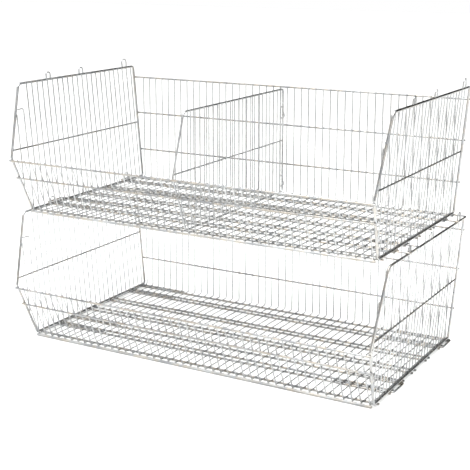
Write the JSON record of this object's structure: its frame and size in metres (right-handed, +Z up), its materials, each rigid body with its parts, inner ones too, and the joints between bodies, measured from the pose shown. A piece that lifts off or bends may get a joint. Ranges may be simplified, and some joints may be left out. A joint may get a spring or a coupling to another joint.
{
  "type": "stacking wire basket",
  "caption": "Open-fronted wire mesh baskets that stack, with flared side panels, sloping fronts, stacking hooks and loops, and a lift-out wire divider.",
  "frame": {"origin": "on the surface that the lower basket stands on, under the middle of its floor", "axes": "+X along the long side, to the right seen from the open front; +Y from the open front to the back; +Z up"},
  "size_m": [1.0116, 0.569, 0.678],
  "materials": {
    "zinc_plated_wire": "bright zinc plate, satin sheen",
    "zinc_plated_rail": "bright zinc plate, satin sheen",
    "zinc_plated_frame": "bright zinc plate, slightly glossier on the thick wire"
  },
  "bodies": {
    "lower_basket": {"lower_side_frame_left": "zinc_plated_frame", "lower_side_mid_wire_left": "zinc_plated_wire", "lower_side_wires_left": "zinc_plated_wire", "lower_stacking_hooks_left": "zinc_plated_wire", "lower_side_frame_right": "zinc_plated_frame", "lower_side_mid_wire_right": "zinc_plated_wire", "lower_side_wires_right": "zinc_plated_wire", "lower_stacking_hooks_right": "zinc_plated_wire", "lower_cross_wires": "zinc_plated_wire", "lower_floor_rails": "zinc_plated_rail", "lower_front_edge_wire": "zinc_plated_frame", "lower_back_top_rail": "zinc_plated_rail", "lower_back_rails": "zinc_plated_rail", "lower_gate_top_rail": "zinc_plated_rail", "lower_gate_low_rail": "zinc_plated_rail"},
    "lower_loop_front_left": {"lower_loop_front_left": "zinc_plated_rail"},
    "lower_loop_front_right": {"lower_loop_front_right": "zinc_plated_rail"},
    "lower_loop_rear_left": {"lower_loop_rear_left": "zinc_plated_rail"},
    "lower_loop_rear_right": {"lower_loop_rear_right": "zinc_plated_rail"},
    "upper_basket": {"upper_side_frame_left": "zinc_plated_frame", "upper_side_mid_wire_left": "zinc_plated_wire", "upper_side_wires_left": "zinc_plated_wire", "upper_stacking_hooks_left": "zinc_plated_wire", "upper_side_frame_right": "zinc_plated_frame", "upper_side_mid_wire_right": "zinc_plated_wire", "upper_side_wires_right": "zinc_plated_wire", "upper_stacking_hooks_right": "zinc_plated_wire", "upper_cross_wires": "zinc_plated_wire", "upper_floor_rails": "zinc_plated_rail", "upper_front_edge_wire": "zinc_plated_frame", "upper_back_top_rail": "zinc_plated_rail", "upper_back_rails": "zinc_plated_rail", "upper_gate_top_rail": "zinc_plated_rail", "upper_gate_low_rail": "zinc_plated_rail", "upper_loop_front_left": "zinc_plated_rail", "upper_loop_front_right": "zinc_plated_rail", "upper_loop_rear_left": "zinc_plated_rail", "upper_loop_rear_right": "zinc_plated_rail"},
    "divider": {"divider_frame": "zinc_plated_frame", "divider_mid_wire": "zinc_plated_wire", "divider_wires": "zinc_plated_wire", "divider_hooks": "zinc_plated_wire"}
  },
  "joints": [
    {"name": "upper_basket_lift", "type": "slide", "parent": "lower_basket", "child": "upper_basket", "axis": [0, 0, 1], "range_m": [0, 0.15]},
    {"name": "divider_lift", "type": "slide", "parent": "upper_basket", "child": "divider", "axis": [0, -0.3743, 0.9273], "range_m": [0, 0.18]},
    {"name": "lower_loop_front_left_slide", "type": "slide", "parent": "lower_basket", "child": "lower_loop_front_left", "axis": [-1, 0, 0], "range_m": [0, 0.02625]},
    {"name": "lower_loop_front_right_slide", "type": "slide", "parent": "lower_basket", "child": "lower_loop_front_right", "axis": [1, 0, 0], "range_m": [0, 0.02625]},
    {"name": "lower_loop_rear_left_slide", "type": "slide", "parent": "lower_basket", "child": "lower_loop_rear_left", "axis": [-1, 0, 0], "range_m": [0, 0.02625]},
    {"name": "lower_loop_rear_right_slide", "type": "slide", "parent": "lower_basket", "child": "lower_loop_rear_right", "axis": [1, 0, 0], "range_m": [0, 0.02625]}
  ]
}
